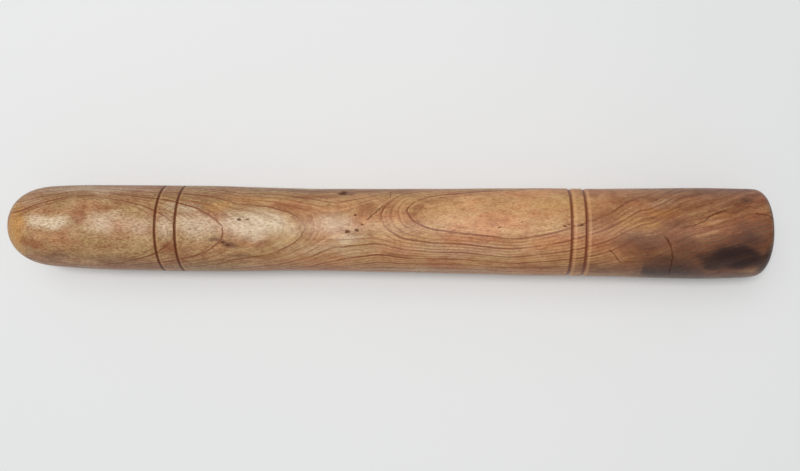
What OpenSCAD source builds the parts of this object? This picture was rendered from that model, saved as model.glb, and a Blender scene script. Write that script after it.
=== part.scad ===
// A bar muddler turned from one piece of wood: a rounded handle end, a long grip with a slight
// waist, and a fuller head with a flat working face. Two pairs of fine lines are cut round it.
// It lies along X, with its axis on the X axis. The origin is at the centre of the working face,
// which faces +X, and the handle runs from there towards -X. Millimetres.

/* [Overall] */
// Length from the tip of the handle to the working face
overall_length = 300; // [260:5:360]

/* [Handle] */
// Diameter of the handle, behind its rounded end
handle_diameter = 34.1; // [30:0.1:38]
// Length of the rounded tip
tip_length = 19; // [12:1:25]
// How full the tip is: 2 is an ellipse, more is blunter
tip_fullness = 2.6; // [2:0.1:3]
// Length over which the handle thins towards the tip
draft_length = 47; // [40:1:58]
// How much the radius would thin by over that length if the tip were not rounded
draft_depth = 2.5; // [1:0.1:5]

/* [Waist] */
// Smallest diameter, between the handle and the head
waist_diameter = 32.7; // [28:0.1:36]
// Distance from the tip to the middle of the waist
waist_distance = 125; // [100:1:150]

/* [Head] */
// Diameter where the lines mark the start of the head
collar_diameter = 34.9; // [30:0.1:40]
// Largest diameter of the head
head_diameter = 36.3; // [32:0.1:44]
// Distance from the largest diameter back from the working face
head_swell_distance = 26; // [20:1:45]
// Diameter at the working face, before its edge is rounded
face_diameter = 35.4; // [30:0.1:42]
// Radius of the rounded edge of the working face
edge_radius = 4.5; // [1:0.25:6]

/* [Lines] */
// Distance from the tip to the first line round the handle
handle_line_distance = 62.1; // [60:0.1:75]
// Distance between the two lines round the handle
handle_line_spacing = 7.7; // [5:0.1:12]
// Width of a line round the handle
handle_line_width = 0.9; // [0.6:0.1:2]
// Depth of a line round the handle
handle_line_depth = 0.5; // [0.2:0.1:1.2]
// Distance from the working face to the nearer line round the head
head_line_distance = 72.6; // [60:0.1:80]
// Distance between the two lines round the head
head_line_spacing = 5.6; // [4:0.1:12]
// Width of the steep side of a line round the head, towards the handle
head_line_steep_side = 0.5; // [0.3:0.1:1]
// Width of the sloping side of a line round the head, towards the working face
head_line_slope_side = 1.7; // [0.5:0.1:2.4]
// Depth of a line round the head
head_line_depth = 0.6; // [0.2:0.1:1.2]

/* [Hidden] */

$fn = 96;
tip_steps = 14;
blend_steps = 8;
edge_steps = 6;

// Where the bottom of each line is, from the tip. The head's lines are placed from its face.
handle_lines = [handle_line_distance, handle_line_distance + handle_line_spacing];
head_lines = [
    overall_length - head_line_distance - head_line_spacing,
    overall_length - head_line_distance,
];

// Each station is [distance from the tip, radius], and the outline eases from one to the next.
stations = [
    [draft_length, handle_diameter / 2],
    [handle_lines[1] + handle_line_spacing, handle_diameter / 2],
    [waist_distance, waist_diameter / 2],
    [head_lines[0], collar_diameter / 2],
    [overall_length - head_swell_distance, head_diameter / 2],
    [overall_length, face_diameter / 2],
];

function ease(t) = t * t * (3 - 2 * t);

// Radius of the handle between the tip and the end of its draft, without the rounding of the tip.
function drafted(s) = handle_diameter / 2 - draft_depth * pow(1 - s / draft_length, 2);

// Radius at distance s from the tip, anywhere past the draft.
function eased(s) =
    let (i = max([for (k = [0 : len(stations) - 2]) if (s >= stations[k][0]) k]))
    let (a = stations[i], b = stations[i + 1])
    a[1] + (b[1] - a[1]) * ease((s - a[0]) / (b[0] - a[0]));

function smooth_radius(s) = s < draft_length ? drafted(s) : eased(s);

// The rounded tip is a superellipse, stepped by angle so that its points are evenly spread.
tip = [for (k = [0 : tip_steps])
    let (turn = 90 * k / tip_steps)
    let (s = tip_length * (1 - pow(cos(turn), 2 / tip_fullness)))
    [drafted(s) * pow(sin(turn), 2 / tip_fullness), s]];

draft = [for (k = [1 : blend_steps])
    let (s = tip_length + (draft_length - tip_length) * k / blend_steps)
    [drafted(s), s]];

function on_blend(i) = [for (k = [1 : blend_steps])
    let (s = stations[i][0] + (stations[i + 1][0] - stations[i][0]) * k / blend_steps)
    [smooth_radius(s), s]];

// The last blend runs into the rounded edge, so its points past the edge's start are left out.
body = [for (i = [0 : len(stations) - 2])
    each [for (p = on_blend(i)) if (p[1] < overall_length - edge_radius - 0.5) p]];

edge_centre = [face_diameter / 2 - edge_radius, overall_length - edge_radius];
edge = [for (k = [0 : edge_steps])
    let (turn = 90 * k / edge_steps)
    edge_centre + edge_radius * [cos(turn), sin(turn)]];

// The V that cuts one line: its bottom is at the given distance from the tip, and its sides reach
// the surface at the given widths to the left and right of that. It goes on as far outside.
module line_cutter(at, depth, left, right) {
    radius = smooth_radius(at);
    rotate_extrude()
        polygon([
            [radius - depth, at],
            [radius + depth, at - 2 * left],
            [radius + depth, at + 2 * right],
        ]);
}

module turned_body() {
    color("burlywood")
        translate([-overall_length, 0, 0])
            rotate([0, 90, 0])
                difference() {
                    rotate_extrude()
                        polygon(concat(tip, draft, body, edge, [[0, overall_length]]));
                    for (at = handle_lines)
                        line_cutter(at, handle_line_depth, handle_line_width / 2, handle_line_width / 2);
                    for (at = head_lines)
                        line_cutter(at, head_line_depth, head_line_steep_side, head_line_slope_side);
                }
}

turned_body();
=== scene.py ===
import math

import bpy
import numpy as np
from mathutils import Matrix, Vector


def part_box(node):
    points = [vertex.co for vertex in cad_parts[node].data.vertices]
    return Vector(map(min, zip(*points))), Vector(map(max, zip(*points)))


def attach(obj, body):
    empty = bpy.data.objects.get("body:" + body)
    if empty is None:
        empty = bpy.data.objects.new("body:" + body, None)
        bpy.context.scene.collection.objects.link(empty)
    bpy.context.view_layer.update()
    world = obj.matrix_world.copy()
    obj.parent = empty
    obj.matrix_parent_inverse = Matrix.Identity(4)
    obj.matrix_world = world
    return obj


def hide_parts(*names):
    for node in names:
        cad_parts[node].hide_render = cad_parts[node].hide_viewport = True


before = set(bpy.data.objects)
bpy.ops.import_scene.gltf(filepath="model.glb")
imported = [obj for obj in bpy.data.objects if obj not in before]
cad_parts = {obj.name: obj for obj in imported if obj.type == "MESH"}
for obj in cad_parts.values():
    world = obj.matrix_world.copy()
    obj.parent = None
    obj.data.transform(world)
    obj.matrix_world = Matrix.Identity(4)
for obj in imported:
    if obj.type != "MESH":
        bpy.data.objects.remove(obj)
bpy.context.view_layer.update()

NODE = "turned_body"
low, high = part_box(NODE)

# Everything below is worked out in millimetres and degrees on the turned surface, as two numbers:
# along, the distance from the handle's tip, and around, the angle from the top towards +Y.
MM = 0.001
LENGTH = (high.x - low.x) / MM
# The largest radius, which is the head's, and how many mm of its surface lie in a degree.
HEAD_RADIUS = (high.y - low.y) / MM / 2
DEGREE = HEAD_RADIUS * math.pi / 180

# The mesh: how many points go round it, and how far apart its rings are in general, near the ends
# and near the turned lines.
SEGMENTS = 288
RING_STEP = 0.8
END_STEP = 0.5
END_REACH = 20
LINE_STEP = 0.14
LINE_REACH = 2.4
FACE_RINGS = 20

# Unevenness left by hand turning, as waves: height in mm, how many times round, how many mm along
# it takes for a radian, and where the wave starts.
WAVES = [
    (0.05, 2, 37, 0.7),
    (0.04, 3, -53, 2.1),
    (0.05, 0, 11, 1.3),
    (0.03, 1, 4.3, 0),
]
# Both ends have warped towards +Y: how far, where the warp starts along, and where it is full.
WARPS = [(0.45, 55, 0), (0.3, 265, 295)]
# The working face's rim is worn on the -Y side: how deep, and how far back from the face.
RIM_WEAR = 0.7
RIM_WEAR_REACH = 9

# How the growth rings lie, as three curves, each a short row of (distance along, value). The first
# is the ring count down the middle of the figure: a ring's oval ends where this passes its number.
MIDDLE_COUNT = [
    (0, -1),
    (5, -1.2),
    (10, -0.8),
    (20, -1.4),
    (30, -2),
    (50, -0.8),
    (60, 0.2),
    (70, 1),
    (86, 1.8),
    (92, 2.1),
    (105, 2.3),
    (119, 2.8),
    (130, 3.2),
    (146, 2.9),
    (159, 1.8),
    (175, 1.1),
    (205, 0.7),
    (250, 1.3),
    (265, 2.4),
    (280, 3.1),
    (300, 4.2),
]
# The second is how fast the count grows away from the middle.
GROWTH = [
    (0, 0.8),
    (5, 1.6),
    (10, 2.5),
    (25, 3.3),
    (50, 3.3),
    (70, 2.1),
    (90, 1.8),
    (120, 1.8),
    (140, 2.3),
    (160, 2.8),
    (180, 3.1),
    (205, 2.8),
    (235, 1.9),
    (265, 1.5),
    (300, 1.5),
]
# The third is the angle that the middle lies at.
MIDDLE_TURN = [
    (0, -90),
    (5, -40),
    (10, -18),
    (25, -12),
    (60, -6),
    (90, -5),
    (110, -1),
    (130, 7),
    (150, 20),
    (175, 28),
    (195, 29),
    (210, 37),
    (235, 67),
    (250, 92),
    (270, 97),
    (300, 97),
]
# How much the count rises from the rim of the working face to its centre.
FACE_ARCH = 0.9
# How dark each ring's line is, from ring 0 up.
RING_STRENGTHS = [0.2, 0.9, 1.0, 0.8, 0.75, 1.0, 0.75, 0.7, 0.5, 0.8, 0.6, 0.9, 0.5, 0.7, 0.6, 0.9]
# The lines fade from here to the head, where they are this much fainter.
LINES_FADE = (235, 255)
LINES_FADE_BY = 0.35
# Below these counts the wood inside the ovals is clear of lines: the first count is for the oval on
# the handle, and the second for the longer one, which starts past the place given.
HANDLE_CLEAR_COUNT = 0.35
HEAD_CLEAR_COUNT = 1.5
HEAD_OVAL_START = 150
CLEAR_EDGE = 0.4
# Even there, this much of the fibres and of the thinnest lines shows.
LEAST_FIGURE = 0.2

# Patches of colour, among them painted highlight and painted shade: along, around, half length in mm,
# half width in degrees, strength.
PATCHES = {
    # The pale patches are partly the wood's own paler patches and partly painted highlight and sheen,
    # mostly near the tip, on top of the handle and along its top and bottom edges.
    "pale": [
        (21, 6, 9, 9, 0.9),
        (42, 8, 7, 15, 0.6),
        (12, 35, 7, 12, 0.4),
        (36, 62, 26, 11, 0.7),
        (72, 27, 7, 9, 0.6),
        (175, -67, 34, 8, 0.5),
        (55, 2, 7, 13, 0.45),
        (66, 2, 3, 20, 0.5),
        (78, 4, 8, 20, 0.6),
        (100, 6, 11, 19, 1.0),
        (82, 2, 5, 16, 0.5),
        (113, 0, 5, 15, 0.4),
        (130, 6, 9, 18, 0.55),
        (135, -13, 8, 9, 0.6),
        (130, -27, 24, 13, 0.42),
        (180, -27, 34, 14, 0.45),
        (256, 40, 9, 10, 0.3),
        (281, 36, 6, 10, 0.2),
        (182, 18, 18, 16, 0.25),
        (206, 14, 13, 12, 0.2),
    ],
    "amber": [
        (5, -4, 5.5, 60, 1.0),
        (86, 30, 6, 7, 0.6),
        (100, 44, 16, 7, 0.5),
        (246, 8, 10, 14, 0.6),
        (255, 26, 7, 9, 0.5),
        (215, 45, 18, 22, 0.3),
        # The next three are painted highlights: bright streaks by a crack and along a raised fibre on
        # the head.
        (273, 12, 6, 3, 0.5),
        (279, 22, 5, 3, 0.5),
        (245.5, -37, 3.5, 2, 0.5),
    ],
    "russet": [
        (33, 16, 2.4, 15, 1.0),
        (33, 38, 2.6, 10, 0.5),
        (44, 29, 9, 7, 0.55),
        (14, -27, 4, 9, 1.0),
        (43, -26, 6, 3, 0.5),
        (50, -16, 5, 2.5, 0.5),
        (30, -22, 7, 6, 0.4),
        (67.5, -28, 2.6, 10, 0.9),
        (82, 49, 12, 5, 0.7),
        (101, -41, 10, 4, 0.6),
        (92, -48, 7, 5, 0.6),
        (112, 33, 9, 5, 0.6),
        (122, 51, 14, 5, 0.7),
        (143, 30, 3.4, 13, 0.8),
        (153, 27, 5, 13, 0.5),
        (160.3, 22, 1.6, 4, 1.0),
        (158.5, 25, 1.5, 4, 0.8),
        (163, 32, 2.6, 5, 1.0),
        (168, 41, 5, 6, 0.7),
        (156, -36, 9, 4, 0.8),
        (178, -33, 4, 5, 0.35),
        (208, -53, 9, 6, 0.7),
        (234, 20, 6, 16, 0.8),
        (240, 44, 3, 8, 1.0),
        (231, 57, 2, 7, 0.8),
        (246, -14, 7, 8, 0.8),
        (244, -52, 5, 12, 0.7),
        (262, 1, 8, 5, 0.7),
        (262, -18, 7, 8, 0.6),
        (270, 46, 6, 8, 0.4),
        (286, 10, 8, 8, 0.9),
    ],
    # The umber patches are partly the wood's own dark brown and partly painted shade, darker along the
    # lower and upper flanks, which turn away from the light.
    "umber": [
        (22, -46, 12, 12, 0.6),
        (88, -18.5, 2.2, 3.5, 1.0),
        (90.5, -22, 3.0, 4.5, 1.0),
        (84.5, -15, 2.4, 2.5, 0.8),
        (94, -38, 7, 3, 0.7),
        (134, 60, 5, 5, 0.8),
        (60, -58, 22, 10, 0.4),
        (44, -46, 16, 9, 0.5),
        (130, 68, 40, 9, 0.6),
        (255, -34, 8, 12, 0.9),
        (262, -52, 16, 28, 1.0),
        (276, -20, 20, 16, 1.0),
        (292, 2, 9, 16, 0.9),
        (251, -13, 12, 16, 0.85),
        (236, -54, 16, 14, 0.7),
        (232, -38, 8, 9, 0.3),
        (246, 62, 16, 14, 0.25),
        (285, 58, 16, 12, 0.4),
        (272, -14, 3, 4, 0.6),
    ],
    "stain": [
        (285, -34, 14, 18, 1.0),
        (298, -40, 4, 28, 0.8),
        (290, -8, 10, 16, 0.5),
        (259, -56, 18, 20, 0.6),
        (284, -62, 14, 12, 0.5),
        (262, -36, 14, 14, 0.45),
        (299.7, 0, 1.3, 500, 0.65),
        (290, 46, 4, 6, 0.5),
        (277, -82, 30, 22, 0.6),
        (285, -150, 26, 35, 0.6),
    ],
}
# Where the stain on the head begins, as sharply as if it had been stood in oil, and over how much.
STAIN_START = 249
STAIN_EDGE = 1.2

# Fine cracks, each a row of points along it, with how dark it is.
CRACKS = [
    (0.9, [(256, -2), (258, -8), (259.5, -18), (260.5, -30), (260.5, -50), (261.5, -72)]),
    (0.8, [(235.5, -20), (238, -28), (240, -37), (241.5, -43)]),
    (0.9, [(143, 12), (144.5, 18), (147, 26), (150, 38)]),
    (0.9, [(291, 25), (296, 23), (300, 20)]),
    (0.8, [(262, 5.5), (267, 9), (271, 13), (274.7, 21), (279, 28), (284, 34)]),
    (0.5, [(266, 14), (270, 18), (273.5, 26), (278, 32)]),
    (0.6, [(151.5, 48), (151.8, 58), (151.5, 66)]),
    (0.4, [(15, -3), (16, 0), (18, 0), (19.3, -3), (18, -6), (16, -6)]),
    (0.5, [(60, 40), (60.5, 46), (60, 52)]),
    (0.6, [(36, -53), (44, -56), (50, -57)]),
]
# A crack fades over this share of its length at both ends, and is told from plain wood only this
# many mm to either side.
CRACK_FADE = 0.12
CRACK_REACH = 2.4
# Open pores: along, around and length in mm.
PORES = [
    (94.5, 12, 1.2),
    (97.5, 12.5, 0.9),
    (136, -2.5, 1.5),
    (139.3, -1, 1.6),
    (138.5, 20, 1.0),
    (133, 61, 2.4),
    (141.5, 7, 0.9),
    (202.5, 12, 0.6),
    (194, 5, 0.7),
    (219, 7.5, 1.1),
    (220.5, 10, 0.9),
    (225.5, 9, 0.8),
    (88, -18.5, 1.0),
    (90, -22, 1.1),
]

# How the turned lines are marked, in widths of a line's side from its bottom. The char in the
# handle's lines, and the dirt with painted shade in the head's, are full out to the first width and
# gone at the second.
CHAR_FADE = (0.7, 1.6)
LINE_DIRT_AND_SHADE_FADE = (0.7, 1.7)
# The head lines' dirt and painted shade lie this many mm towards the handle, on their shaded flank.
LINE_DIRT_AND_SHADE_SHIFT = 0.1
# A painted highlight, standing in for light on each line's lit flank, lies towards the head from the
# bottom: its middle, how far it reaches to either side of that, and how strong it is.
HANDLE_LINE_HIGHLIGHT = (2.1, 1.0, 0.6)
HEAD_LINE_HIGHLIGHT = (0.75, 0.5, 1.0)

# The plain wood goes from the handle's colour to the grip's and then the head's, along these
# stretches.
HANDLE_TO_GRIP = (70, 190)
GRIP_TO_HEAD = (205, 270)
# Colours that cover what is under them, as they look on a screen.
COLOURS = {
    "handle": (200, 167, 122),
    "grip": (222, 176, 124),
    "head": (172, 124, 84),
    "streak": (222, 182, 134),
    # Pale is partly the wood's paler patches and partly painted highlight and sheen.
    "pale": (236, 218, 188),
    # Amber is the wood's yellow-orange, and also painted highlight streaks on the head.
    "amber": (212, 160, 88),
    "russet": (160, 102, 64),
    # Umber is the wood's own dark brown, and also painted shade along the flanks.
    "umber": (112, 76, 56),
    "band": (170, 104, 64),
    "thin": (140, 80, 48),
    "line": (120, 62, 34),
    "speckle": (130, 80, 46),
    # A painted highlight on each turned line's lit flank.
    "line_highlight": (232, 176, 124),
    # Dirt and painted shade in the head's lines, on their shaded flank.
    "line_dirt_and_shade": (116, 52, 18),
    "burn": (100, 46, 6),
    "marks": (74, 38, 18),
}
# Shades that what is under them is multiplied by.
SHADES = {
    "cloud": (208, 184, 166),
    "pink": (255, 232, 226),
    "olive": (243, 250, 232),
    "dull": (176, 142, 128),
    "mottle": (206, 172, 152),
    "fibre_dark": (172, 136, 108),
    "fine": (188, 162, 140),
    "stain": (100, 94, 122),
    "end_grain": (170, 148, 130),
}
# How ragged each patch colour is, and how much of it there is at most.
PATCH_LOOKS = {
    "pale": (0.3, 0.8),
    "amber": (0.5, 0.75),
    "russet": (0.9, 0.7),
    "umber": (0.9, 0.75),
}
# The floor's two colours, and its half width in lengths of the muddler.
FLOOR_COLOURS = ((0.78, 0.79, 0.79, 1), (0.8, 0.807, 0.805, 1))
FLOOR_REACH = 14

# The lamps: place from the muddler's middle and size in metres, power in watts, and colour.
LAMPS = {
    "overhead": ((-0.2, 0.1, 1.45), 0.45, 12.6, (1, 0.99, 0.97)),
    "window": ((-0.25, 0.45, 1.3), 0.9, 3.5, (0.98, 0.99, 1)),
}
ROOM_COLOUR = (0.95, 0.97, 1.0, 1)
ROOM_STRENGTH = 0.3

# The camera: its place from the handle's tip in lengths of the muddler, its lens in mm, how far its
# picture is shifted, and its turn in degrees.
CAMERA_PLACE = (0.5851, -0.006, 1.193)
CAMERA_LENS = 40.19
CAMERA_SHIFT = -0.064
CAMERA_TURN = 0.6


def eased(t):
    """0 to 1, slow at both ends."""
    t = np.clip(t, 0, 1)
    return t * t * (3 - 2 * t)


def fading(x, full, gone):
    """1 up to the first place, easing to 0 at the second."""
    return eased((gone - x) / (gone - full))


def through(x, xs, ys, slopes):
    """The curve at x that goes through each point at its given slope."""
    i = np.clip(np.searchsorted(xs, x, side="right") - 1, 0, len(xs) - 2)
    step = xs[i + 1] - xs[i]
    t = (x - xs[i]) / step
    rise = ys[i + 1] - ys[i]
    bow_a = slopes[i] * step - rise
    bow_b = rise - slopes[i + 1] * step
    return ys[i] + t * rise + t * (1 - t) * (bow_a * (1 - t) + bow_b * t)


def smooth_interp(x, xs, ys):
    """A smooth curve through close points, without the kinks of straight stretches."""
    return through(x, xs, ys, np.gradient(ys, xs))


def flowing(x, points):
    """A smooth curve through a few points far apart, which never swings past them."""
    xs, ys = np.array(points, float).T
    steps = np.diff(ys) / np.diff(xs)
    before, after = steps[:-1], steps[1:]
    same_way = before * after > 0
    inner = np.where(same_way, 2 * before * after / np.where(same_way, before + after, 1), 0)
    return through(x, xs, ys, np.concatenate([steps[:1], inner, steps[-1:]]))


def cad_outline():
    """The turned outline, as arrays of distances from the tip and radii, read from the CAD node."""
    radii = {}
    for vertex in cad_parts[NODE].data.vertices:
        along = round((vertex.co.x - low.x) / MM, 3)
        radius = math.hypot(vertex.co.y, vertex.co.z) / MM
        radii[along] = max(radii.get(along, 0), radius)
    points = np.array(sorted(radii.items()))
    return points[:, 0], points[:, 1]


def split_lines(along, radius):
    """Takes the turned lines out of the outline, and gives each as its place, depth and two widths."""
    least_depth = 0.25
    bottoms = [
        i
        for i in range(1, len(along) - 1)
        if radius[i] < min(radius[i - 1], radius[i + 1]) - least_depth
    ]
    lines = [
        (
            along[i],
            (radius[i - 1] + radius[i + 1]) / 2 - radius[i],
            along[i] - along[i - 1],
            along[i + 1] - along[i],
        )
        for i in bottoms
    ]
    keep = np.ones(len(along), bool)
    for i in bottoms:
        keep[i - 1 : i + 2] = False
    return lines, along[keep], radius[keep]


def ring_places(lines, along, radius):
    """Where the mesh's rings go along the outline: closer together at the lines and the ends."""
    arc = np.concatenate([[0], np.cumsum(np.hypot(np.diff(along), np.diff(radius)))])
    line_arcs = [np.interp(line[0], along, arc) for line in lines]
    places = []
    at = END_STEP / 2
    while at < arc[-1]:
        places.append(at)
        near_line = min(abs(at - a) for a in line_arcs) < LINE_REACH
        near_end = min(at, arc[-1] - at) < END_REACH
        at += LINE_STEP if near_line else END_STEP if near_end else RING_STEP
    places = np.array([*places, arc[-1]])
    return smooth_interp(places, arc, along), smooth_interp(places, arc, radius)


def line_depth(along, lines):
    """How deep the turned lines cut at each distance along, with their lips slightly rounded."""
    depth = np.zeros_like(along)
    roundness = 0.12
    full = math.hypot(1, roundness) - roundness
    for bottom, deep, left, right in lines:
        side = np.where(along < bottom, left, right)
        share = 1 - np.abs(along - bottom) / side
        depth += deep * np.where(share > 0, np.hypot(share, roundness) - roundness, 0) / full
    return depth


def ring_count(along, across, up, inside):
    """The growth ring at a point. On the working face the rings are arcs."""
    middle, growth, turn = (flowing(along, curve) for curve in (MIDDLE_COUNT, GROWTH, MIDDLE_TURN))
    angle = np.radians(turn)
    typical_radius = 0.95 * HEAD_RADIUS
    towards = (across * np.sin(angle) + up * np.cos(angle)) / typical_radius
    return middle + 2 * growth * (1 - towards) + FACE_ARCH * inside


def patch_field(patches, along, around):
    """The strength of one tone at each point. Its edges wander by a few mm and degrees."""
    drift = 1.1 * np.sin(along / 2.3 + around / 9) + 0.8 * np.sin(around / 4.1 - along / 3.7)
    turn_drift = 2.2 * np.sin(along / 3.1 + 1) + 1.6 * np.sin(along / 1.7 + around / 13)
    field = np.zeros_like(along)
    for at, angle, half_length, half_width, strength in patches:
        turn = (around + turn_drift * min(1, half_width / 10) - angle + 180) % 360 - 180
        shift = along + drift * min(1, half_length / 8) - at
        reach = (shift / half_length) ** 2 + (turn / half_width) ** 2
        field = np.maximum(field, strength * np.exp(-0.7 * reach**1.3))
    return field


def crack_field(points, along, around):
    """The signed distance in mm to one crack, and how much of it there is at each point."""
    along_crack, across_crack = np.array(points).T * [[1], [DEGREE]]
    x = along
    y = around * DEGREE
    nearest = np.full_like(x, np.inf)
    signed = np.zeros_like(x)
    share = np.zeros_like(x)
    pieces = len(points) - 1
    for i in range(pieces):
        ax, ay = along_crack[i], across_crack[i]
        dx = along_crack[i + 1] - ax
        dy = across_crack[i + 1] - ay
        t = ((x - ax) * dx + (y - ay) * dy) / (dx * dx + dy * dy)
        on = np.clip(t, 0, 1)
        away = np.hypot(x - ax - on * dx, y - ay - on * dy)
        side = np.sign((x - ax) * dy - (y - ay) * dx)
        closer = away < nearest
        nearest = np.where(closer, away, nearest)
        signed = np.where(closer, away * side, signed)
        share = np.where(closer, (i + on) / pieces, share)
    ends = eased(share / CRACK_FADE) * eased((1 - share) / CRACK_FADE)
    return signed, ends * eased(2 * (1 - nearest / CRACK_REACH))


def wobble(along, angle):
    """The small unevenness of a shape turned by hand, in mm."""
    return sum(
        height * np.sin(times * angle + along / radian_length + start)
        for height, times, radian_length, start in WAVES
    )


def bow(along):
    """How far both ends have warped sideways, in mm."""
    return sum(far * eased((along - start) / (full - start)) for far, start, full in WARPS)


def rim_wear(along, angle):
    """How far the rim of the working face is worn away, in mm."""
    near_face = eased(1 - (LENGTH - along) / RIM_WEAR_REACH)
    return RIM_WEAR * near_face * eased(-np.sin(angle))


def build_body():
    """The whole muddler as one closed mesh, with what its material needs stored at each point."""
    lines, outline_along, outline_radius = split_lines(*cad_outline())
    along, radius = ring_places(lines, outline_along, outline_radius)
    cut = line_depth(along, lines)
    face_radii = np.linspace(radius[-1], 0, FACE_RINGS + 1)[1:-1]
    ring_along = np.concatenate([along, np.full(len(face_radii), along[-1])])
    ring_radius = np.concatenate([radius - cut, face_radii])
    on_side = np.concatenate([np.ones(len(along)), np.zeros(len(face_radii))])
    rings = len(ring_along)

    angle, s = np.meshgrid(np.radians(np.arange(SEGMENTS) * 360 / SEGMENTS), ring_along)
    r = np.repeat(ring_radius[:, None], SEGMENTS, 1)
    side = np.repeat(on_side[:, None], SEGMENTS, 1)
    calm_before_face = 8
    unevenness = np.minimum(r / HEAD_RADIUS, 1) * side * eased((LENGTH - s) / calm_before_face)
    r = r + wobble(s, angle) * unevenness - rim_wear(s, angle) * side
    across, up = r * np.sin(angle), r * np.cos(angle)

    def with_ends(start, middle, end):
        return np.concatenate([[start], np.ravel(middle), [end]])

    s_all = with_ends(0, s, along[-1])
    across_all = with_ends(0, across, 0)
    up_all = with_ends(0, up, 0)
    points = np.column_stack([s_all * MM + low.x, (across_all + bow(s_all)) * MM, up_all * MM])

    def at(ring, k):
        return 1 + ring * SEGMENTS + k % SEGMENTS

    last = 1 + rings * SEGMENTS
    around_once = range(SEGMENTS)
    faces = [(0, at(0, k + 1), at(0, k)) for k in around_once]
    for ring in range(rings - 1):
        faces += [
            (at(ring, k), at(ring, k + 1), at(ring + 1, k + 1), at(ring + 1, k))
            for k in around_once
        ]
    faces += [(last, at(rings - 1, k), at(rings - 1, k + 1)) for k in around_once]
    mesh = bpy.data.meshes.new("muddler_body")
    mesh.from_pydata(points.tolist(), [], faces)
    mesh.polygons.foreach_set("use_smooth", np.ones(len(faces), bool))

    inside = with_ends(0, (1 - (r / radius[-1]) ** 2) * (1 - side), 1)
    around_all = np.degrees(np.arctan2(across_all, up_all))
    store_grain(mesh, s_all, across_all, up_all, inside, ring_along, r)
    store_tones(mesh, s_all, around_all)
    store_cracks(mesh, s_all, around_all)
    store_lines(mesh, s_all, lines)
    store(mesh, "end_grain", with_ends(0, 1 - side, 1))

    body = bpy.data.objects.new("muddler_body", mesh)
    bpy.context.scene.collection.objects.link(body)
    return body


def store(mesh, name, values):
    made = mesh.attributes.new(name, "FLOAT", "POINT")
    made.data.foreach_set("value", values.astype(np.float32))


def store_grain(mesh, along, across, up, inside, ring_along, r):
    """The ring count, how fast it changes in a millimetre of surface, and how dark its line is."""
    count = ring_count(along, across, up, inside)
    grid = count[1:-1].reshape(r.shape)
    arc = np.cumsum(np.hypot(np.diff(ring_along, prepend=0), np.diff(r[:, 0], prepend=0)))
    down = np.gradient(grid, arc, axis=0)
    wrapped = (np.roll(grid, -1, 1) - np.roll(grid, 1, 1)) / 2
    crossways = wrapped / np.maximum(np.radians(360 / SEGMENTS) * r, 0.02)
    slope = np.hypot(down, crossways)
    slope = np.concatenate([[slope[0].mean()], slope.ravel(), [slope[-1].mean()]])
    strength = np.interp(count, np.arange(len(RING_STRENGTHS)), RING_STRENGTHS)
    clear_count = np.where(along > HEAD_OVAL_START, HEAD_CLEAR_COUNT, HANDLE_CLEAR_COUNT)
    figure = eased((count - clear_count) / CLEAR_EDGE)
    fade_start, fade_end = LINES_FADE
    faded = 1 - LINES_FADE_BY * eased((along - fade_start) / (fade_end - fade_start))
    store(mesh, "ring_count", count)
    store(mesh, "ring_slope", np.clip(slope, 0.02, 3))
    store(mesh, "ring_strength", strength * figure * faded)
    store(mesh, "figure", LEAST_FIGURE + (1 - LEAST_FIGURE) * figure)


def store_tones(mesh, along, around):
    """How much of each patch colour there is. The stain on the head starts sharply."""
    for tone, patches in PATCHES.items():
        field = patch_field(patches, along, around)
        if tone == "stain":
            field = field * eased((along - STAIN_START) / STAIN_EDGE)
        store(mesh, tone, field)


def store_cracks(mesh, along, around):
    """The signed distance to the nearest crack, and how dark it is."""
    distance = np.full_like(along, 2 * CRACK_REACH)
    mask = np.zeros_like(along)
    for dark, points in CRACKS:
        signed, share = crack_field(points, along, around)
        stronger = share * dark > mask
        distance = np.where(stronger, signed, distance)
        mask = np.where(stronger, share * dark, mask)
    store(mesh, "crack_distance", distance)
    store(mesh, "crack_mask", mask)


def store_lines(mesh, along, lines):
    """Where the handle's lines are burned, the head's have grime and painted shade, and each a painted
    highlight.
    """
    burn, dirt_and_shade, lit_flank_highlight = (np.zeros_like(along) for _ in range(3))
    for bottom, _, left, right in lines:
        off = along - bottom
        if bottom < LENGTH / 2:
            burn = np.maximum(burn, fading(np.abs(off) / left, *CHAR_FADE))
            middle, reach, strength = HANDLE_LINE_HIGHLIGHT
        else:
            dirt_and_shade = np.maximum(dirt_and_shade, fading(np.abs(off + LINE_DIRT_AND_SHADE_SHIFT) / left, *LINE_DIRT_AND_SHADE_FADE))
            middle, reach, strength = HEAD_LINE_HIGHLIGHT
        lit_flank_highlight = np.maximum(lit_flank_highlight, strength * fading(np.abs(off / right - middle), 0, reach))
    store(mesh, "burn", burn)
    store(mesh, "line_dirt_and_shade", dirt_and_shade)
    store(mesh, "line_highlight", lit_flank_highlight)


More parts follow.
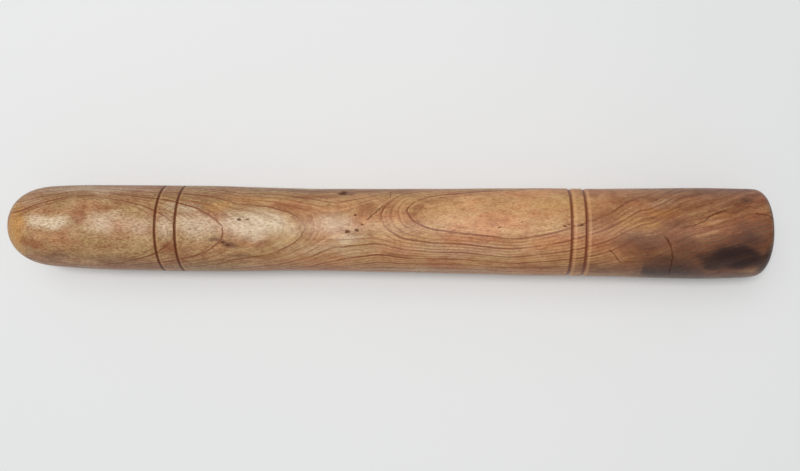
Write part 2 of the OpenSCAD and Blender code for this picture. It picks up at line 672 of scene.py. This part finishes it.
class Nodes:
    """Builds one material's node tree, a call for each node."""

    def __init__(self, name):
        self.material = bpy.data.materials.new(name)
        self.material.use_nodes = True
        self.tree = self.material.node_tree
        self.tree.nodes.clear()

    def add(self, kind, inputs=(), **settings):
        made = self.tree.nodes.new(kind)
        for name, value in settings.items():
            setattr(made, name, value)
        for name, value in dict(inputs).items():
            self.feed(made.inputs[name], value)
        return made

    def feed(self, socket, value):
        if isinstance(value, bpy.types.NodeSocket):
            self.tree.links.new(value, socket)
        else:
            socket.default_value = value

    def math(self, operation, *values):
        return self.add("ShaderNodeMath", enumerate(values), operation=operation).outputs[0]

    def attribute(self, name):
        return self.add("ShaderNodeAttribute", attribute_name=name).outputs["Fac"]

    def scaled(self, vector, scale):
        made = self.add("ShaderNodeVectorMath", {0: vector, 1: scale}, operation="MULTIPLY")
        return made.outputs[0]

    def noise(self, vector, scale, detail=2.0, roughness=0.5):
        """Noise with its own scale along each axis, given per millimetre."""
        inputs = {
            "Vector": self.scaled(vector, scale),
            "Scale": 1.0,
            "Detail": detail,
            "Roughness": roughness,
        }
        return self.add("ShaderNodeTexNoise", inputs).outputs["Fac"]

    def range(self, value, start, end, low_out=0.0, high_out=1.0):
        """Eases from one output to the other as the value goes from start to end."""
        inputs = {
            "Value": value,
            "From Min": start,
            "From Max": end,
            "To Min": low_out,
            "To Max": high_out,
        }
        return self.add("ShaderNodeMapRange", inputs, interpolation_type="SMOOTHSTEP").outputs[0]

    def mix(self, share, first, second, blend="MIX"):
        made = self.add("ShaderNodeMix", data_type="RGBA", blend_type=blend)
        self.feed(made.inputs[0], share)
        self.feed(made.inputs[6], first)
        self.feed(made.inputs[7], second)
        return made.outputs[2]

    def covered(self, share, look, name):
        """The look so far, with one of COLOURS over it where the share is high."""
        return self.mix(share, look, colour(*COLOURS[name]))

    def darkened(self, share, look, name):
        """The look so far, multiplied by one of SHADES where the share is high."""
        return self.mix(share, look, colour(*SHADES[name]), "MULTIPLY")

    def finish(self, shader):
        out = self.add("ShaderNodeOutputMaterial")
        self.tree.links.new(shader.outputs[0], out.inputs[0])
        return self.material


def colour(red, green, blue):
    """A colour given as it looks on a screen, 0 to 255, for a node's colour socket."""
    parts = [c / 255 for c in (red, green, blue)]
    linear = [c / 12.92 if c <= 0.04045 else ((c + 0.055) / 1.055) ** 2.4 for c in parts]
    return (*linear, 1.0)


def waved_rings(g, mm):
    """The ring count made uneven at two sizes, as growth is."""
    count = g.attribute("ring_count")
    for scale, detail, height in (((0.05, 0.12, 0.12), 2, 0.3), ((0.22, 0.6, 0.6), 3, 0.09)):
        wave = g.math("SUBTRACT", g.noise(mm, scale, detail), 0.5)
        count = g.math("MULTIPLY_ADD", wave, height, count)
    return count


def line_distance(g, count, slope):
    """How far, in mm, it is to the nearest whole number of the count."""
    off = g.math("SUBTRACT", count, g.math("ROUND", count))
    return g.math("DIVIDE", g.math("ABSOLUTE", off), slope)


def crack_lines(g, mm):
    """How much of a crack's dark line there is: uneven in width, and faint in places."""
    sway = g.math("MULTIPLY_ADD", g.noise(mm, (0.5, 0.5, 0.5), 3, 0.7), 1.6, -0.8)
    distance = g.math("ABSOLUTE", g.math("ADD", g.attribute("crack_distance"), sway))
    width = g.range(g.noise(mm, (0.4, 0.4, 0.4), 2), 0.35, 0.65, 0.3, 0.6)
    return g.math("MULTIPLY", g.range(distance, 0.06, width, 1.0, 0.0), g.attribute("crack_mask"))


def pore_spots(g, place, mm):
    """How much of an open pore there is: the ones in PORES, each longer than it is wide."""
    stretch = (0.55, 1.0, 0.05)
    ragged = g.math("MULTIPLY_ADD", g.noise(mm, (1.2, 1.8, 1.8), 2), 1.6 * MM, -0.8 * MM)
    outline = cad_outline()
    spots = 0.0
    for along, around, size in PORES:
        turn = math.radians(around)
        radius = float(np.interp(along, *outline)) * MM
        centre = Vector((low.x + along * MM, radius * math.sin(turn), radius * math.cos(turn)))
        away = g.add("ShaderNodeVectorMath", {0: place, 1: centre}, operation="SUBTRACT").outputs[0]
        stretched = {0: g.scaled(away, stretch)}
        length = g.add("ShaderNodeVectorMath", stretched, operation="LENGTH").outputs["Value"]
        distance = g.math("ADD", length, ragged)
        reach = size * MM / 2
        spots = g.math("MAXIMUM", g.range(distance, reach * 0.4, reach, 1.0, 0.0), spots)
    return spots


def plain_colour(g, mm, along, parts):
    """The plain wood, with its clouds, streaks, slow drift of hue and the head's duller streaks."""
    look = g.mix(g.range(along, *HANDLE_TO_GRIP), colour(*COLOURS["handle"]), colour(*COLOURS["grip"]))
    look = g.covered(g.range(along, *GRIP_TO_HEAD), look, "head")
    look = g.darkened(g.range(parts["cloud"], 0.35, 0.65, 0.0, 0.5), look, "cloud")
    look = g.covered(g.range(parts["streak"], 0.45, 0.75, 0.0, 0.35), look, "streak")
    drift = g.noise(mm, (0.05, 0.11, 0.11), 3, 0.6)
    look = g.darkened(g.range(drift, 0.45, 0.65, 0.0, 0.9), look, "pink")
    look = g.darkened(g.range(drift, 0.5, 0.3, 0.0, 0.7), look, "olive")
    on_head = g.math("MULTIPLY", g.range(along, 225, 250), 0.8)
    look = g.darkened(g.math("MULTIPLY", g.range(parts["streak"], 0.55, 0.3), on_head), look, "dull")
    return g.darkened(g.range(parts["mottle"], 0.45, 0.7, 0.0, 0.6), look, "mottle")


def patched(g, look, rough):
    """The patch colours over the plain wood, each broken up by its own raggedness."""
    for tone, (raggedness, most) in PATCH_LOOKS.items():
        uneven = g.math("MULTIPLY_ADD", rough, raggedness, 1 - 0.8 * raggedness)
        here = g.math("MULTIPLY", g.attribute(tone), uneven)
        look = g.covered(g.range(here, 0.1, 0.9, 0.0, most), look, tone)
    return look


def grained(g, look, along, parts):
    """The fibres, fine mottling, growth ring lines and speckles. The handle is the roughest."""
    look = g.covered(g.math("MULTIPLY", parts["band"], 0.18), look, "band")
    look = g.darkened(g.math("MULTIPLY", parts["fibre_dark"], 0.5), look, "fibre_dark")
    rugged = g.range(along, 75, 110, 0.85, 0.5)
    look = g.darkened(g.range(parts["fine"], 0.35, 0.7, 0.0, rugged), look, "fine")
    for part, most in (("thin", 0.5), ("line", 0.84), ("speckle", 0.5)):
        look = g.covered(g.math("MULTIPLY", parts[part], most), look, part)
    return look


def stained(g, look, rough):
    """The dark stain on the head, over everything under it, and the darker end grain."""
    here = g.math("MULTIPLY", g.attribute("stain"), g.math("MULTIPLY_ADD", rough, 0.6, 0.55))
    look = g.darkened(g.range(here, 0.1, 0.85, 0.0, 0.95), look, "stain")
    return g.darkened(g.math("MULTIPLY", g.attribute("end_grain"), 0.6), look, "end_grain")


def wood_colour(g, mm, parts):
    """The wood's colour, from its plain tone to the lines and the marks on top."""
    along = g.math("SUBTRACT", g.add("ShaderNodeSeparateXYZ", {0: mm}).outputs[0], low.x / MM)
    streaks = g.math("MULTIPLY", parts["streak"], 0.9)
    rough = g.math("ADD", streaks, g.math("MULTIPLY", parts["cloud"], 0.7))
    look = patched(g, plain_colour(g, mm, along, parts), rough)
    look = stained(g, grained(g, look, along, parts), rough)
    # Over the lines: a painted highlight on each lit flank, dirt with painted shade in the head's, and
    # char in the handle's.
    for name, most in (("line_highlight", 0.3), ("line_dirt_and_shade", 0.85), ("burn", 0.9)):
        look = g.covered(g.math("MULTIPLY", g.attribute(name), most), look, name)
    return g.covered(g.math("MULTIPLY", parts["marks"], 0.8), look, "marks")


def wood_material():
    """Oiled, hand-turned hardwood: growth rings, fibres, pores, stains, cracks, burned lines, painted
    highlight and shade.
    """
    g = Nodes("turned_wood")
    place = g.add("ShaderNodeTexCoord").outputs["Object"]
    mm = g.scaled(place, (1 / MM, 1 / MM, 1 / MM))
    count = waved_rings(g, mm)
    slope = g.attribute("ring_slope")
    distance = line_distance(g, count, slope)
    fade = g.range(g.noise(mm, (0.06, 0.2, 0.2)), 0.35, 0.6, 0.45, 1.0)
    strength = g.math("MULTIPLY", g.attribute("ring_strength"), fade)
    thirds = line_distance(g, g.math("MULTIPLY", count, 3.0), g.math("MULTIPLY", slope, 3.0))
    past_ring = g.math("FRACT", count)

    # Fibres and streaks run along the rings: their noise is stretched that way.
    x = g.add("ShaderNodeSeparateXYZ", {0: mm}).outputs[0]
    flow = g.add("ShaderNodeCombineXYZ", {"X": x, "Y": count}).outputs[0]
    fibre = g.noise(flow, (0.12, 9.0, 1.0), 4, 0.65)
    figure = g.attribute("figure")
    close_set = g.math("MULTIPLY", g.range(slope, 0.03, 0.1), figure)
    fine = g.noise(mm, (0.8, 2.0, 2.0), 3, 0.6)
    spotted = g.range(g.noise(mm, (0.08, 0.14, 0.14), 2), 0.4, 0.6, 0.2, 1.0)
    between = g.math("MULTIPLY", fade, close_set)
    parts = {
        "cloud": g.noise(mm, (0.09, 0.16, 0.16), 3, 0.6),
        "streak": g.noise(flow, (0.05, 2.2, 1.0), 3, 0.6),
        "fibre": fibre,
        "fibre_dark": g.math("MULTIPLY", g.range(fibre, 0.35, 0.7), figure),
        "fine": fine,
        "mottle": g.noise(mm, (0.28, 0.6, 0.6), 4, 0.7),
        "speckle": g.math("MULTIPLY", g.range(g.noise(mm, (1.0, 1.9, 1.9)), 0.58, 0.72), spotted),
        "band": g.math("MULTIPLY", g.range(past_ring, 0.0, 0.5, 1.0, 0.0), strength),
        "line": g.math("MULTIPLY", g.range(distance, 0.1, 0.55, 1.0, 0.0), strength),
        "thin": g.math("MULTIPLY", g.range(thirds, 0.1, 0.5, 1.0, 0.0), between),
        "marks": g.math("MAXIMUM", crack_lines(g, mm), pore_spots(g, place, mm)),
    }
    look = wood_colour(g, mm, parts)

    relief = g.math("MULTIPLY_ADD", parts["fibre"], 0.5, g.math("MULTIPLY", fine, 0.5))
    for mark, deep in (("speckle", 0.5), ("line", 0.4), ("marks", 0.8)):
        relief = g.math("MULTIPLY_ADD", parts[mark], -deep, relief)
    bump = g.add("ShaderNodeBump", {"Strength": 0.3, "Distance": 0.0002, "Height": relief})
    shader = g.add(
        "ShaderNodeBsdfPrincipled",
        {
            "Base Color": look,
            "Roughness": g.range(fine, 0.2, 0.8, 0.42, 0.56),
            "IOR": 1.42,
            "Specular IOR Level": g.range(parts["marks"], 0.0, 1.0, 0.5, 0.1),
            "Normal": bump.outputs[0],
            "Sheen Weight": 0.06,
            "Sheen Roughness": 0.35,
        },
    )
    return g.finish(shader)


def floor_material():
    """Plain pale card."""
    g = Nodes("pale_floor")
    place = g.add("ShaderNodeTexCoord").outputs["Object"]
    cloud = g.noise(place, (3.0, 3.0, 3.0))
    look = g.mix(g.range(cloud, 0.3, 0.7), *FLOOR_COLOURS)
    return g.finish(g.add("ShaderNodeBsdfPrincipled", {"Base Color": look, "Roughness": 0.8}))


def build_floor(height):
    """A plain floor just where the muddler touches it."""
    half = FLOOR_REACH * (high.x - low.x)
    middle = (low.x + high.x) / 2
    corners = [(middle + i * half, j * half, height) for i, j in ((-1, -1), (1, -1), (1, 1), (-1, 1))]
    mesh = bpy.data.meshes.new("floor")
    mesh.from_pydata(corners, [], [(0, 1, 2, 3)])
    floor = bpy.data.objects.new("floor", mesh)
    floor.data.materials.append(floor_material())
    bpy.context.scene.collection.objects.link(floor)


def disk_lamp(name, place, aim, size, power, tint):
    """A round lamp at one point that shines towards another."""
    light = bpy.data.lights.new(name, "AREA")
    light.shape = "DISK"
    light.size = size
    light.energy = power
    light.color = tint
    lamp = bpy.data.objects.new(name, light)
    lamp.location = place
    lamp.rotation_mode = "QUATERNION"
    lamp.rotation_quaternion = (aim - place).to_track_quat("-Z", "Y")
    bpy.context.scene.collection.objects.link(lamp)


def light_scene():
    """A soft lamp nearly overhead, a larger one leaning to the +Y side, and even light all round."""
    middle = (low + high) / 2
    for name, (offset, size, power, tint) in LAMPS.items():
        disk_lamp(name, middle + Vector(offset), middle, size, power, tint)
    room = bpy.data.worlds.new("room")
    room.use_nodes = True
    background = room.node_tree.nodes["Background"]
    background.inputs["Color"].default_value = ROOM_COLOUR
    background.inputs["Strength"].default_value = ROOM_STRENGTH
    bpy.context.scene.world = room
    bpy.context.scene.view_settings.view_transform = "Standard"


def place_camera():
    """Straight down from over the grip, turned so that the head is a little lower in the picture."""
    camera = bpy.data.cameras.new("camera")
    camera.lens = CAMERA_LENS
    camera.shift_x = CAMERA_SHIFT
    view = bpy.data.objects.new("camera", camera)
    view.location = Vector((low.x, 0, 0)) + (high.x - low.x) * Vector(CAMERA_PLACE)
    view.rotation_euler = (0, 0, math.radians(CAMERA_TURN))
    bpy.context.scene.collection.objects.link(view)
    bpy.context.scene.camera = view


body = build_body()
body.data.materials.append(wood_material())
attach(body, "root")
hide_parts(NODE)
build_floor(min(vertex.co.z for vertex in body.data.vertices))
light_scene()
place_camera()
